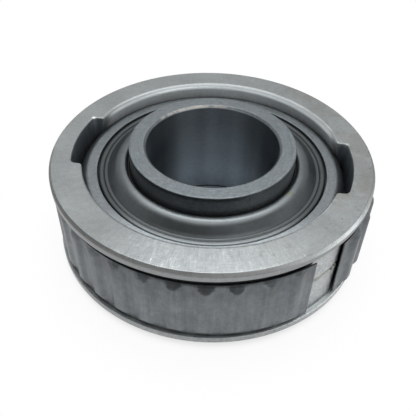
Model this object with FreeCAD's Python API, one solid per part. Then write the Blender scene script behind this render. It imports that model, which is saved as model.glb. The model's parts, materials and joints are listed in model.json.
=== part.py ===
import FreeCAD
import Part
import math
import os

# Gimbal bearing: a sealed ball bearing whose outer race is a slice of a ball. The race swivels in a
# spherical seat inside a heavy carrier ring, and a corrugated spring band round the carrier takes up
# the play in the housing. Millimetres; the origin is the centre of the seat, +Z is the shaft axis.

# Bore and ball set
bore_diameter = 35.0
race_wall = 3.694
ball_diameter = 11.112
ball_count = 9
ball_play = 0.04
groove_play = 0.167
shoulder_height = 2.25

# Outer race
shield_room = 2.444
race_corner = 2.5
race_mouth_step = 0.6
shield_seat_depth = 1.35
shield_seat_bite = 0.7

# Inner race: a long sleeve with a thicker middle for the balls
sleeve_step = 1.514
sleeve_stand_up = 4.7
sleeve_stand_down = 3.3
bore_chamfer = 0.6
sleeve_chamfer = 0.2
middle_room = 0.95

# Cage: two ribbons of sheet steel with half pockets, riveted together between the balls
cage_sheet = 0.9
cage_ribbon_width = 3.4
pocket_play = 0.1
rivet_diameter = 1.6
rivet_head_diameter = 2.6
rivet_head_height = 0.6
rivet_play = 0.02

# Shields: pressed rings with a rolled bead round the sleeve, each carrying a rubber lip
shield_thickness = 0.6
shield_bore_gap = 0.67
shield_end_play = 0.05
shield_bead_height = 2.0
shield_bead_width = 1.9
shield_collar_length = 1.4
shield_rim_gap = 0.15
shield_hem_depth = 0.25
shield_hem_lean = 0.2
shield_hem_width = 0.8
shield_step_depth = 0.4
shield_step_lean = 0.4
shield_step_width = 0.9
bead_inside_bend = 0.5
lip_play = 0.05
lip_land = 0.35
lip_root_width = 2.0
lip_overhang = 0.25
lip_depth = 0.75

# Carrier ring
carrier_wall = 6.5
carrier_height = 25.4
flange_height = 2.35
band_channel_depth = 1.5
rim_chamfer = 0.6
mouth_chamfer = 0.4

# Spherical seat and the two loading slots in its upper half
seat_clearance = 0.04
slot_side_play = 1.0
slot_relief = 1.0
slot_corner = 1.6
slot_angle = -7.2

# Grease way, from the band's channel to the balls
grease_hole_diameter = 2.4
grease_hole_angle = -42.0
feed_groove_width = 1.3
feed_groove_depth = 0.55
seat_groove_width = 3.0
seat_groove_depth = 0.8
race_hole_diameter = 1.4

# Tolerance ring: an open spring band with pressed waves, free in its channel: it has sunk to the lower
# flange and lies a little to one side
band_thickness = 0.4
band_lower_gap = 0.25
band_upper_gap = 2.25
band_floor_gap = 0.5
band_nearest_gap = 0.1
band_lean_angle = 25.0
band_gap = 10.16
band_gap_angle = -47.95
band_end_land = 4.5
wave_pitch = 7.13
wave_rise = 1.3
wave_base = 4.3
wave_crest = 2.0
wave_ramp = 1.3
wave_rim = 0.2

# Radii that follow, from the bore outwards: the sphere comes to 72 mm and the carrier to 85 mm
bore_radius = bore_diameter / 2
ball_radius = ball_diameter / 2
pitch_radius = bore_radius + race_wall + ball_radius
groove_radius = ball_radius + groove_play
inner_shoulder = pitch_radius - ball_radius + shoulder_height
outer_shoulder = pitch_radius + ball_radius - shoulder_height
sleeve_radius = inner_shoulder - sleeve_step
collar_radius = sleeve_radius + shield_bore_gap + shield_thickness / 2
race_mouth = outer_shoulder + race_mouth_step
shield_seat_radius = race_mouth + shield_seat_bite
sphere_radius = pitch_radius + ball_radius + race_wall
seat_radius = sphere_radius + seat_clearance
carrier_radius = sphere_radius + carrier_wall
channel_radius = carrier_radius - band_channel_depth

# Heights that follow, from the balls to the faces: the outer race comes to 18 mm wide
cage_top = ball_radius + pocket_play + cage_sheet
race_half = cage_top + shield_room
shield_seat_top = race_half - shield_seat_depth
shield_seat_floor = shield_seat_top - shield_thickness - shield_end_play
bead_top = race_half + shield_bead_height
bead_level = bead_top - shield_thickness / 2
collar_end = bead_level - shield_collar_length
lip_floor = collar_end - lip_depth
carrier_half = carrier_height / 2
channel_half = carrier_half - flange_height

origin = FreeCAD.Vector(0, 0, 0)
up = FreeCAD.Vector(0, 0, 1)


def point(radius, height):
    """A point of a turned outline: radius from the axis, height along it."""
    return FreeCAD.Vector(radius, 0, height)


def turned(edges):
    """Turn a closed outline of edges about the shaft axis into a solid."""
    outline = Part.Face(Part.Wire(edges))
    return outline.revolve(origin, up, 360)


def turned_polygon(corners):
    """Turn a closed polygon, given as (radius, height) corners, into a solid."""
    points = [point(radius, height) for radius, height in corners]
    return turned(Part.makePolygon(points + points[:1]).Edges)


def arc(start, middle, end):
    """An arc through three points of an outline."""
    return Part.Arc(start, middle, end).toShape()


def around(shape, angle):
    """A copy of a shape turned about the shaft axis by an angle in degrees."""
    copy = shape.copy()
    copy.rotate(origin, up, angle)
    return copy


def upside_down(shape):
    """The mirror image of a shape on the other side of the middle plane."""
    return shape.mirror(origin, up)


def pair_of_rings(corners):
    """One turned ring above the middle plane and its mirror image below, for cutting both faces."""
    ring = turned_polygon(corners)
    return [ring, upside_down(ring)]


def loading_slots():
    """The bar that cuts both loading slots, from the upper face down to the middle plane."""
    reach = sphere_radius + slot_relief
    side = race_half + slot_side_play
    bar = Part.makeBox(2 * reach, 2 * side, carrier_height, FreeCAD.Vector(-reach, -side, 0))
    bar = bar.common(Part.makeCylinder(reach, carrier_height))
    corners = [edge for edge in bar.Edges if abs(edge.BoundBox.ZLength - carrier_height) < 0.001]
    bar = bar.makeFillet(slot_corner, corners)
    return around(bar, slot_angle)


def carrier():
    """The outer ring: channel for the band, feed groove, spherical seat, slots and grease hole."""
    feed = feed_groove_width / 2
    inside = seat_radius / 2
    body = turned_polygon([
        (inside, -carrier_half),
        (carrier_radius - rim_chamfer, -carrier_half),
        (carrier_radius, -carrier_half + rim_chamfer),
        (carrier_radius, -channel_half),
        (channel_radius, -channel_half),
        (channel_radius, -feed),
        (channel_radius - feed_groove_depth, 0),
        (channel_radius, feed),
        (channel_radius, channel_half),
        (carrier_radius, channel_half),
        (carrier_radius, carrier_half - rim_chamfer),
        (carrier_radius - rim_chamfer, carrier_half),
        (inside, carrier_half),
    ])
    mouth = math.sqrt(seat_radius ** 2 - carrier_half ** 2)
    bevels = pair_of_rings([
        (inside, carrier_half - mouth_chamfer),
        (mouth, carrier_half - mouth_chamfer),
        (mouth + mouth_chamfer, carrier_half),
        (inside, carrier_half),
    ])
    seat_groove = Part.makeCylinder(
        seat_radius + seat_groove_depth, seat_groove_width, FreeCAD.Vector(0, 0, -seat_groove_width / 2))
    hole = Part.makeCylinder(
        grease_hole_diameter / 2, carrier_radius, origin, FreeCAD.Vector(1, 0, 0))
    cutters = [Part.makeSphere(seat_radius), seat_groove, loading_slots(), around(hole, grease_hole_angle)]
    return body.cut(cutters + bevels)


def wave_form(inner_radius, outer_radius, half_width, half_height):
    """A pressing's tapered block; half_width and half_height give its size at each of two radii."""
    sections = []
    for radius in (inner_radius, outer_radius):
        wide = half_width(radius)
        high = half_height(radius)
        corners = [(-wide, -high), (wide, -high), (wide, high), (-wide, high)]
        points = [FreeCAD.Vector(radius, across, along) for across, along in corners]
        sections.append(Part.makePolygon(points + points[:1]))
    return Part.makeLoft(sections, True, True)


def tolerance_ring():
    """The spring band: a strip with a gap, and waves pressed outwards that fade into plain rims."""
    land_inner = channel_radius + band_floor_gap
    land_outer = land_inner + band_thickness
    band_half = channel_half - (band_lower_gap + band_upper_gap) / 2
    gap_angle = math.degrees(band_gap / land_outer)
    strip = Part.makeCylinder(land_outer, 2 * band_half, point(0, -band_half), up, 360 - gap_angle)
    core = Part.makeCylinder(land_inner, 2 * band_half, point(0, -band_half), up, 360)
    strip = strip.cut(core)

    side_slope = (wave_base - wave_crest) / 2 / wave_rise
    ramp_slope = wave_ramp / wave_rise
    side_wall = band_thickness * math.hypot(1, side_slope)
    ramp_wall = band_thickness * math.hypot(1, ramp_slope)

    def outer_width(radius):
        return wave_base / 2 - (radius - land_outer) * side_slope

    def outer_height(radius):
        return band_half - wave_rim - (radius - land_outer) * ramp_slope

    def inner_width(radius):
        return outer_width(radius) - side_wall

    def inner_height(radius):
        return outer_height(radius) - ramp_wall

    crest = land_outer + wave_rise
    bump = wave_form(land_outer - band_thickness / 2, crest, outer_width, outer_height)
    hollow = wave_form(land_inner - band_thickness, crest - band_thickness, inner_width, inner_height)

    pitch_angle = math.degrees(wave_pitch / land_outer)
    room = 360 - gap_angle - 2 * math.degrees(band_end_land / land_outer)
    wave_count = int(room / pitch_angle) + 1
    first = (360 - gap_angle - (wave_count - 1) * pitch_angle) / 2
    places = [first + number * pitch_angle for number in range(wave_count)]
    band = strip.fuse([around(bump, place) for place in places])
    band = band.cut([around(hollow, place) for place in places])
    band = around(band, band_gap_angle + gap_angle / 2)
    sink = (band_lower_gap - band_upper_gap) / 2
    lean = point(band_floor_gap - band_nearest_gap, sink)
    band.translate(FreeCAD.Rotation(up, band_lean_angle).multVec(lean))
    return band


def raceway(bottom_radius, side):
    """The ring that cuts a ball groove; side is +1 for the outer race and -1 for the inner."""
    centre = bottom_radius - side * groove_radius
    return Part.makeTorus(centre, groove_radius)


def outer_race():
    """A slice of a ball, bored for the raceway, with a seat for a shield at each face."""
    corner_radius = sphere_radius - race_corner
    corner_height = race_half - race_corner
    corner_centre = math.sqrt(corner_radius ** 2 - corner_height ** 2)
    touch = sphere_radius / corner_radius
    halfway = math.atan2(corner_height, corner_centre) / 2 + math.pi / 4
    corner_middle = (
        corner_centre + race_corner * math.cos(halfway), corner_height + race_corner * math.sin(halfway))
    top = [
        point(corner_centre * touch, corner_height * touch),
        point(*corner_middle),
        point(corner_centre, race_half),
    ]
    bottom = [point(corner.x, -corner.z) for corner in top]
    side = [
        (race_mouth, race_half),
        (race_mouth, shield_seat_top),
        (shield_seat_radius, shield_seat_top),
        (shield_seat_radius, shield_seat_floor),
        (outer_shoulder, shield_seat_floor),
    ]
    corners = side + [(radius, -height) for radius, height in reversed(side)]
    inside = [point(corner_centre, race_half)] + [point(radius, height) for radius, height in corners]
    inside.append(point(corner_centre, -race_half))
    edges = Part.makePolygon(inside).Edges
    edges += [
        arc(bottom[2], bottom[1], bottom[0]),
        arc(bottom[0], point(sphere_radius, 0), top[0]),
        arc(top[0], top[1], top[2]),
    ]
    race = turned(edges)
    race = race.cut(raceway(pitch_radius + ball_radius + ball_play, 1))
    return race.cut(race_grease_hole())


def race_grease_hole():
    """A slanted drilling from the seat groove to the space between the raceway and the upper shield."""
    outlet_height = (shield_seat_floor + groove_radius) / 2
    start = point(sphere_radius + 1, 0)
    slant = point(outer_shoulder, outlet_height).sub(start)
    drill = Part.makeCylinder(race_hole_diameter / 2, slant.Length + 1, start, slant)
    return around(drill, grease_hole_angle)


def inner_race():
    """The sleeve on the shaft, thick round the balls and thinner where the lips run."""
    middle_half = lip_floor - middle_room
    shoulder_slope = sleeve_step / 4
    top = bead_top + sleeve_stand_up
    bottom = -bead_top - sleeve_stand_down
    sleeve = turned_polygon([
        (bore_radius, bottom + bore_chamfer),
        (bore_radius + bore_chamfer, bottom),
        (sleeve_radius - sleeve_chamfer, bottom),
        (sleeve_radius, bottom + sleeve_chamfer),
        (sleeve_radius, -middle_half - shoulder_slope),
        (inner_shoulder, -middle_half),
        (inner_shoulder, middle_half),
        (sleeve_radius, middle_half + shoulder_slope),
        (sleeve_radius, top - sleeve_chamfer),
        (sleeve_radius - sleeve_chamfer, top),
        (bore_radius + bore_chamfer, top),
        (bore_radius, top - bore_chamfer),
    ])
    return sleeve.cut(raceway(pitch_radius - ball_radius - ball_play, -1))


def ball(number):
    """One ball at its place on the pitch circle."""
    centre = around(Part.Vertex(pitch_radius, 0, 0), number * 360 / ball_count).Point
    return Part.makeSphere(ball_radius, centre)


def cage_half():
    """The upper ribbon: a flat ring with nine half pockets, open inwards and outwards."""
    inner = pitch_radius - cage_ribbon_width / 2
    outer = pitch_radius + cage_ribbon_width / 2
    ribbon = turned_polygon([(inner, 0), (outer, 0), (outer, cage_sheet), (inner, cage_sheet)])
    band = turned_polygon([(inner, 0), (outer, 0), (outer, 2 * cage_top), (inner, 2 * cage_top)])
    centre = point(pitch_radius, 0)
    dome = Part.makeSphere(cage_top, centre).common(band)
    hollow = Part.makeSphere(ball_radius + pocket_play, centre)
    rivet_hole = Part.makeCylinder(rivet_diameter / 2 + rivet_play, 2 * cage_sheet, centre)
    places = [number * 360 / ball_count for number in range(ball_count)]
    between = 180 / ball_count
    half = ribbon.fuse([around(dome, place) for place in places])
    half = half.cut([around(hollow, place) for place in places])
    return half.cut([around(rivet_hole, place + between) for place in places])


def rivet():
    """One rivet with a low domed head on each side of the two ribbons."""
    shank = rivet_diameter / 2
    head = rivet_head_diameter / 2
    brim = cage_sheet + rivet_head_height / 3
    crown = cage_sheet + rivet_head_height
    rise = crown - brim
    dome = (head ** 2 + rise ** 2) / (2 * rise)
    halfway = math.asin(head / dome) / 2
    crest = (dome * math.sin(halfway), crown - dome + dome * math.cos(halfway))
    below = [point(0, -crown), point(crest[0], -crest[1]), point(head, -brim)]
    above = [point(head, brim), point(*crest), point(0, crown)]
    middle = [
        below[2],
        point(head, -cage_sheet),
        point(shank, -cage_sheet),
        point(shank, cage_sheet),
        point(head, cage_sheet),
        above[0],
    ]
    edges = [arc(*below)] + Part.makePolygon(middle).Edges
    edges += [arc(*above), Part.LineSegment(above[2], below[0]).toShape()]
    pin = turned(edges)
    pin.translate(point(pitch_radius, 0))
    return pin


def cage_rivets():
    """The rivets, one between each pair of neighbouring pockets."""
    between = 180 / ball_count
    return Part.makeCompound([around(rivet(), (2 * number + 1) * between) for number in range(ball_count)])


def bend_round(before, corner, after, bend):
    """The first, middle and last point of an arc that rounds a corner of a path."""
    back = before.sub(corner).normalize()
    ahead = after.sub(corner).normalize()
    half_angle = back.getAngle(ahead) / 2
    set_back = bend / math.tan(half_angle)
    inwards = back.add(ahead).normalize()
    middle = corner.add(inwards * (bend / math.sin(half_angle) - bend))
    return corner.add(back * set_back), middle, corner.add(ahead * set_back)


def sheet_path(folds, bends, radius):
    """The middle line of a pressed sheet: sharp folds first, then corners bent to a radius, then an end."""
    points = [point(*corner) for corner in folds + bends]
    edges = Part.makePolygon(points[:len(folds)]).Edges
    start = points[len(folds) - 1]
    for place in range(len(folds), len(points) - 1):
        first, middle, last = bend_round(points[place - 1], points[place], points[place + 1], radius)
        edges += [Part.LineSegment(start, first).toShape(), arc(first, middle, last)]
        start = last
    edges.append(Part.LineSegment(start, points[-1]).toShape())
    return Part.Wire(edges)


def upper_shield():
    """The pressed shield: rim in the race, hem, step, cone up to the bead, and turned-down collar."""
    half_sheet = shield_thickness / 2
    rim_level = shield_seat_floor + half_sheet
    hem_level = race_half - shield_hem_depth - half_sheet
    step_level = hem_level - shield_step_depth
    leg_foot = race_mouth - shield_rim_gap - half_sheet
    hem_start = leg_foot - shield_hem_lean
    hem_end = hem_start - shield_hem_width
    step_start = hem_end - shield_step_lean
    step_end = step_start - shield_step_width
    folds = [
        (shield_seat_radius - shield_end_play, rim_level),
        (leg_foot, rim_level),
        (hem_start, hem_level),
        (hem_end, hem_level),
        (step_start, step_level),
        (step_end, step_level),
    ]
    bends = [
        (collar_radius + shield_bead_width, bead_level),
        (collar_radius, bead_level),
        (collar_radius, collar_end),
    ]
    path = sheet_path(folds, bends, half_sheet + bead_inside_bend)
    underside = path.makeOffset2D(half_sheet, 2, False, True)
    outline = underside.makeOffset2D(-shield_thickness, 2, True, True)
    return outline.revolve(origin, up, 360).Solids[0]


def upper_lip(shield):
    """The rubber under the bead, with an edge that runs on the sleeve."""
    contact = sleeve_radius + lip_play
    root = collar_radius + lip_root_width
    face = contact + lip_overhang
    form = turned_polygon([
        (contact, lip_floor),
        (contact, lip_floor + lip_land),
        (face, collar_end),
        (face, collar_end + lip_overhang),
        (root, bead_level),
        (root, collar_end),
        (collar_radius, lip_floor + lip_land),
    ])
    return form.cut(shield)


def export(name, shape):
    """Write one sub-part."""
    shape.exportStep(os.path.join("parts", name + ".step"))


def build():
    """Make every sub-part at its place and write it."""
    os.makedirs("parts", exist_ok=True)
    shield = upper_shield()
    lip = upper_lip(shield)
    half = cage_half()
    export("carrier", carrier())
    export("tolerance_ring", tolerance_ring())
    export("outer_race", outer_race())
    export("inner_race", inner_race())
    for number in range(ball_count):
        export("ball_" + str(number + 1), ball(number))
    export("cage_upper", half)
    export("cage_lower", upside_down(half))
    export("cage_rivets", cage_rivets())
    export("shield_upper", shield)
    export("shield_lower", upside_down(shield))
    export("seal_lip_upper", lip)
    export("seal_lip_lower", upside_down(lip))


build()
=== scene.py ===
import json
import math

import bpy
import numpy as np
from mathutils import Matrix, Vector


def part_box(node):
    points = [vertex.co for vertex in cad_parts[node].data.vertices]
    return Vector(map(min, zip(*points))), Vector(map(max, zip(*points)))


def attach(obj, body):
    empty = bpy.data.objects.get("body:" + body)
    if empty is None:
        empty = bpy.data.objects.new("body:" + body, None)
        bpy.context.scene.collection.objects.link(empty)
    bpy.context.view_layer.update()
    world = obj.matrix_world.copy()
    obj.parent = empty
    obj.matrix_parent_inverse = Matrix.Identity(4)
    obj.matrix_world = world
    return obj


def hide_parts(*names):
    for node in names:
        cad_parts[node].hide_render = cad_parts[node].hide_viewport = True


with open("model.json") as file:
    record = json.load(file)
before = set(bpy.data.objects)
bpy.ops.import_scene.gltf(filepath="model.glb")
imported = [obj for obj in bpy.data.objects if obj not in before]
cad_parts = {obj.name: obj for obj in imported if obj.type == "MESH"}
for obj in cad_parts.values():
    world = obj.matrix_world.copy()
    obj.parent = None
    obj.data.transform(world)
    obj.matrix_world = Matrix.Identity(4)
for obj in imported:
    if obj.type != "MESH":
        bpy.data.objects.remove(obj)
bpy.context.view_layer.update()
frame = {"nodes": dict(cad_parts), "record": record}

# Lengths are millimetres here and become metres where a mesh, a bump or the camera is made.
mm = 0.001
full = 2 * math.pi

# What the frame says of itself: heights, outer radius and bore
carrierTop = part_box("carrier")[1][2] / mm
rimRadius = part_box("carrier")[1][0] / mm
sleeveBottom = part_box("inner_race")[0][2] / mm
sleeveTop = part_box("inner_race")[1][2] / mm
mounts = {mount["name"]: mount for mount in frame["record"]["mounts"]}
boreRadius = mounts["shaft_bore"]["dims"]["r_mm"]


# Surfaces

# One named piece from arrays of points and of four-sided faces. The volume of the pyramids from the origin
# to the faces is negative where they look inwards, and they are turned then.
def addPiece(name, points, faces, body, slot, material, cover):
    a, b, c, d = (points[faces[:, k]] for k in range(4))
    volume = np.sum(np.cross(a, b) * c) + np.sum(np.cross(a, c) * d)
    if volume < 0:
        faces = faces[:, ::-1]
    mesh = bpy.data.meshes.new(name)
    mesh.vertices.add(len(points))
    mesh.vertices.foreach_set("co", (points * mm).ravel())
    mesh.loops.add(faces.size)
    mesh.loops.foreach_set("vertex_index", faces.ravel())
    mesh.polygons.add(len(faces))
    mesh.polygons.foreach_set("loop_start", np.arange(0, faces.size, 4))
    mesh.polygons.foreach_set("use_smooth", np.ones(len(faces), dtype=bool))
    mesh.update(calc_edges=True)
    mesh.materials.append(material)
    piece = bpy.data.objects.new(name, mesh)
    bpy.context.scene.collection.objects.link(piece)
    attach(piece, body)
    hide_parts(cover)


# The faces between neighbouring points of a grid, whose columns or rows may close on themselves.
def gridFaces(columns, rows, closeColumns, closeRows):
    across = np.arange(columns if closeColumns else columns - 1)
    along = np.arange(rows if closeRows else rows - 1)
    i, j = (part.ravel() for part in np.meshgrid(across, along, indexing="ij"))
    nextI = (i + 1) % columns
    nextJ = (j + 1) % rows
    return np.stack([i * rows + j, nextI * rows + j, nextI * rows + nextJ, i * rows + nextJ], axis=1)


# A piece whose grid closes on itself both ways. Its kind is body, slot, material and replaced node. The slot
# is not used.
def gridPiece(name, grid, *kind):
    addPiece(name, grid.reshape(-1, 3), gridFaces(*grid.shape[:2], True, True), *kind)


# The points of an outline whose corners are (radius from the axis, height, rounding). A rounding is an arc
# that touches both sides; a point a little before and after it keeps the straight runs flat in the light.
def roundedOutline(corners, closed=True, hold=0.12, turn=15):
    spots = [np.array(corner[:2], dtype=float) for corner in corners]
    count = len(spots)
    points = []
    for k in range(count):
        here, rounding = spots[k], corners[k][2]
        if rounding == 0 or (not closed and k in (0, count - 1)):
            points.append(here)
            continue
        back = spots[k - 1] - here
        ahead = spots[(k + 1) % count] - here
        backLength, aheadLength = np.linalg.norm(back), np.linalg.norm(ahead)
        back, ahead = back / backLength, ahead / aheadLength
        halfAngle = math.acos(np.clip(back @ ahead, -1, 1)) / 2
        setBack = rounding / math.tan(halfAngle)
        middle = (back + ahead) / np.linalg.norm(back + ahead)
        centre = here + middle * rounding / math.sin(halfAngle)
        sweep = math.pi - 2 * halfAngle
        first = here + back * setBack - centre
        last = here + ahead * setBack - centre
        share = np.linspace(0, 1, max(2, round(math.degrees(sweep) / turn)) + 1)[:, None]
        arc = centre + (np.sin((1 - share) * sweep) * first + np.sin(share * sweep) * last) / math.sin(sweep)
        away = setBack + hold
        if backLength > 2 * away:
            points.append(here + back * away)
        points.extend(arc)
        if aheadLength > 2 * away:
            points.append(here + ahead * away)
    return np.array(points)


# Corners without rounding along an arc, its angles in degrees.
def arcCorners(centre, radius, start, end, steps):
    angles = np.radians(np.linspace(start, end, steps))
    return [(centre[0] + radius * math.cos(a), centre[1] + radius * math.sin(a), 0) for a in angles]


# Places on a surface turned about the shaft axis: radius, height and angle, in arrays of one shape.
def turnedPlaces(radius, height, angle):
    radius, height, angle = np.broadcast_arrays(radius, height, angle)
    return np.stack([radius * np.cos(angle), radius * np.sin(angle), height], axis=-1)


# A closed outline of (radius, height) points turned once round the shaft axis.
def turnedPiece(name, outline, columns, *kind):
    angles = np.arange(columns)[:, None] * full / columns
    gridPiece(name, turnedPlaces(outline[:, 0], outline[:, 1], angles), *kind)


# 0 below 0, 1 above 1 and a soft S between them.
def smoothStep(value):
    value = np.clip(value, 0, 1)
    return value * value * (3 - 2 * value)


# One value where share is 0 and another where it is 1, for numbers, arrays and shades.
def blend(first, second, share):
    return first + share * (second - first)


# Bends a patch of a surface's grid until its square loops are circles, so that a drilled hole has a round
# edge: a point's distance from the hole becomes its larger coordinate's, fading out at the patch's rim.
def holePatch(angle, z, reach, hole):
    turn = (angle - math.radians(hole["angle"]) + math.pi) % full - math.pi
    across = turn * reach
    square = np.maximum(np.abs(across), np.abs(z))
    steady = 0.6  # the share of the patch that is bent in full
    pull = 1 - smoothStep((square / hole["patch"] - steady) / (1 - steady))
    scale = 1 + pull * (square / (np.hypot(across, z) + 1e-9) - 1)
    depth = hole["depth"] * (np.hypot(across, z) * scale < hole["radius"])
    return angle + across * (scale - 1) / reach, z * scale, depth


# Angles round a circle, closer together across a hole's patch.
def anglesPastHole(start, end, hole, reach, counts):
    spread = 1.3 * hole["patch"] / reach
    middle = math.radians(hole["angle"])
    stops = (start, middle - spread, middle + spread, end)
    return np.concatenate([np.linspace(*stops[k:k + 2], counts[k], endpoint=False) for k in range(3)])


# Shader arithmetic

# A socket that takes part in sums. Every operation on it adds one Math node.
class Shade:
    def __init__(self, bench, socket):
        self.bench = bench
        self.socket = socket

    def math(self, operation, *others):
        return self.bench.math(operation, self, *others)

    def __add__(self, other):
        return self.math("ADD", other)

    def __sub__(self, other):
        return self.math("SUBTRACT", other)

    def __mul__(self, other):
        return self.math("MULTIPLY", other)

    def __truediv__(self, other):
        return self.math("DIVIDE", other)

    __radd__ = __add__
    __rmul__ = __mul__

    def __rsub__(self, other):
        return self.bench.math("SUBTRACT", other, self)

    def __abs__(self):
        return self.math("ABSOLUTE")

    # 0 at low, 1 at high and a soft S between them
    def ramp(self, low, high):
        settings = {"interpolation_type": "SMOOTHSTEP"}
        sockets = {"Value": self, "From Min": low, "From Max": high}
        return Shade(self.bench, self.bench.node("ShaderNodeMapRange", settings, sockets).outputs[0])

    # 1 at a value and 0 farther from it than a width
    def near(self, value, width):
        return 1 - abs(self - value).ramp(0, width)

    # the same for an angle, with both in degrees
    def nearAngle(self, value, width):
        return self.near(math.radians(value), math.radians(width))

    def clip(self):
        return self.math("MAXIMUM", 0).math("MINIMUM", 1)


# The nodes of one material or world. What every pattern is laid out on is kept in at: x, y, height and
# distance from the axis, in millimetres.
class Bench:
    def __init__(self, owner, output="Object", scale=1000):
        owner.use_nodes = True
        self.tree = owner.node_tree
        self.tree.nodes.clear()
        coordinates = self.node("ShaderNodeTexCoord").outputs[output]
        split = self.node("ShaderNodeSeparateXYZ", sockets={0: coordinates})
        x, y, z = (Shade(self, split.outputs[k]) * scale for k in range(3))
        self.at = x, y, z, (x * x + y * y).math("SQRT")

    def node(self, kind, settings=None, sockets=None):
        made = self.tree.nodes.new(kind)
        for name, value in (settings or {}).items():
            setattr(made, name, value)
        for place, value in (sockets or {}).items():
            socket = made.inputs[place]
            if isinstance(value, Shade):
                value = value.socket
            if isinstance(value, bpy.types.NodeSocket):
                self.tree.links.new(value, socket)
            else:
                socket.default_value = (*value, 1) if socket.type == "RGBA" else value
        return made

    def math(self, operation, *values):
        made = self.node("ShaderNodeMath", {"operation": operation}, dict(enumerate(values)))
        return Shade(self, made.outputs[0])

    def noise(self, x, y, z, scale=1.0, detail=2.0, rough=0.55):
        vector = self.node("ShaderNodeCombineXYZ", sockets={0: x, 1: y, 2: z}).outputs[0]
        sockets = {"Vector": vector, "Scale": scale, "Detail": detail, "Roughness": rough}
        return Shade(self, self.node("ShaderNodeTexNoise", sockets=sockets).outputs["Fac"])

    # the same laid out on the piece itself
    def cloud(self, scale, detail=2.0, rough=0.55):
        return self.noise(*self.at[:3], scale, detail, rough)

    def mixColour(self, share, first, second):
        made = self.node("ShaderNodeMix", {"data_type": "RGBA"}, {0: share, 6: first, 7: second})
        return made.outputs[2]

    def bump(self, height, distance):
        return self.node("ShaderNodeBump", sockets={"Height": height, "Distance": distance * mm}).outputs[0]

    def output(self, shader, kind="ShaderNodeOutputMaterial"):
        self.node(kind, sockets={"Surface": shader.outputs[0]})


# Bare steel. The grey level is a plain value times one plus its layers: cloudy patches, turning rings,
# strokes across the rings, mottling and fine grain. An optional function changes the bench's level, rough,
# height and metallic by place, painted light and shade among them. It gives each colour layer's share,
# stains and painted shades and glints; the dictionary has its strength and colour.
def steelMaterial(name, look, dress=None, sizes=None):
    material = bpy.data.materials.new(name)
    bench = Bench(material)
    x, y, z, radius = bench.at
    alongX, alongY = x / radius, y / radius
    patches = bench.cloud(look["patchScale"], 4.0) - 0.5
    ringScale = look["ringScale"]
    rings = bench.noise(radius * ringScale, z * ringScale, alongX * look["ringBreak"]) - 0.5
    across, drift = look["strokeScale"], look["strokeDrift"]
    strokes = bench.noise(alongX * across, alongY * across, radius * drift + z * drift, rough=0.6) - 0.5
    mottle = bench.cloud(look["mottleScale"], 3.0, 0.65) - 0.5
    grain = bench.cloud(look["grainScale"]) - 0.5
    level = 1 + patches * look["patchTone"] + rings * look["ringTone"] + strokes * look["strokeTone"]
    level = level + mottle * look["mottleTone"] + grain * look["grainTone"]
    rough = look["rough"] + patches * look["patchRough"] + grain * look["grainRough"]
    bench.level = level * look["level"]
    bench.rough = rough + strokes * look["grainRough"]
    bench.height = rings * look["ringDepth"] + strokes * look["strokeDepth"] + grain * look["grainDepth"]
    bench.metallic = look["metallic"]
    stains = dress(bench, sizes) if dress else {}
    colour = bench.mixColour(bench.level.clip(), (0, 0, 0), look["tint"])
    for layer, share in stains.items():
        strength, layerColour = sizes[layer]
        colour = bench.mixColour(share * strength, colour, layerColour)
    bench.output(bench.node("ShaderNodeBsdfPrincipled", sockets={
        "Base Color": colour,
        "Roughness": bench.rough,
        "Metallic": bench.metallic,
        "Normal": bench.bump(bench.height, look["bump"]),
    }))
    return material


plainSteel = {
    "level": 0.293, "tint": (0.965, 1.0, 1.01), "metallic": 0.85, "rough": 0.4,
    "patchScale": 0.09, "patchTone": 0.35, "mottleScale": 0.7, "mottleTone": 0.35,
    "ringScale": 6.0, "ringTone": 0.15, "ringDepth": 0.5, "ringBreak": 2.0,
    "strokeScale": 70.0, "strokeDrift": 0.25, "strokeTone": 0.15, "strokeDepth": 0.5,
    "grainScale": 3.0, "grainTone": 0.5, "grainDepth": 0.6, "bump": 0.02,
    "patchRough": 0.16, "grainRough": 0.12,
}


# Carrier ring

carrierSizes = {
    "half": carrierTop, "rim": rimRadius, "channel": rimRadius - 1.5, "channelHalf": carrierTop - 2.35,
    "chamfer": 0.6, "seat": 36.04, "seatGroove": 36.84, "seatGrooveHalf": 1.5,
    "mouthRound": 1.4, "slotRound": 0.35, "lipRound": 0.7, "lowerRound": 0.4,
    "slotHalf": 10.0, "slotFront": 0.8, "slotReach": 37.0, "slotCorner": 1.6, "slotLip": 0.9,
    "slotAngle": -7.2, "feedDepth": 0.55, "feedHalf": 0.65,
    "greaseHole": {"angle": -42.0, "radius": 1.2, "depth": 3.0, "patch": 2.4},
    # the finish and its painted light and shade: levels multiply the steel's grey, darks take from it,
    # angles are degrees from +x
    "channelLevel": 1.55, "dentTone": 1.3, "speckleTone": 1.2, "scratchTone": 0.5, "holeDark": 0.93,
    "gapAngle": -47.95, "gapHalf": 7.0, "hiddenLevel": 0.2, "ledgeShine": 3.0, "lowRimShine": 0.4,
    "seatLevel": 2.0, "lipLevel": 0.86, "lipMetallic": 0.35,
    "rightAngle": -40.0, "rightWidth": 35.0, "edgeLevel": 1.15, "edgeShine": 1.5, "edgeDark": 0.35,
    "slotLevel": 1.5, "slotTone": 2.2, "slotGlint": 0.5,
    "scuffMiddle": -90.5, "scuffSpread": 32.5, "scuffLevel": 1.13, "scuffTone": 0.4,
    "pitDark": 0.45, "pitDepth": 2.0, "hazeDark": 0.18,
    # patches of painted shade on the upper face
    "dimPatches": [(-128.0, 24.0, 0.17), (-48.0, 16.0, 0.1)],  # angle, width, dark
    # the stains and the slots' painted shade: how strong, and the colour
    "grease": (0.55, (0.3, 0.27, 0.2)), "spots": (0.45, (0.2, 0.17, 0.13)),
    "slots": (0.5, (0.05, 0.085, 0.14)), "rust": (0.3, (0.2, 0.15, 0.12)),
    "haze": (0.25, (0.27, 0.255, 0.21)),
}
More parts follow.
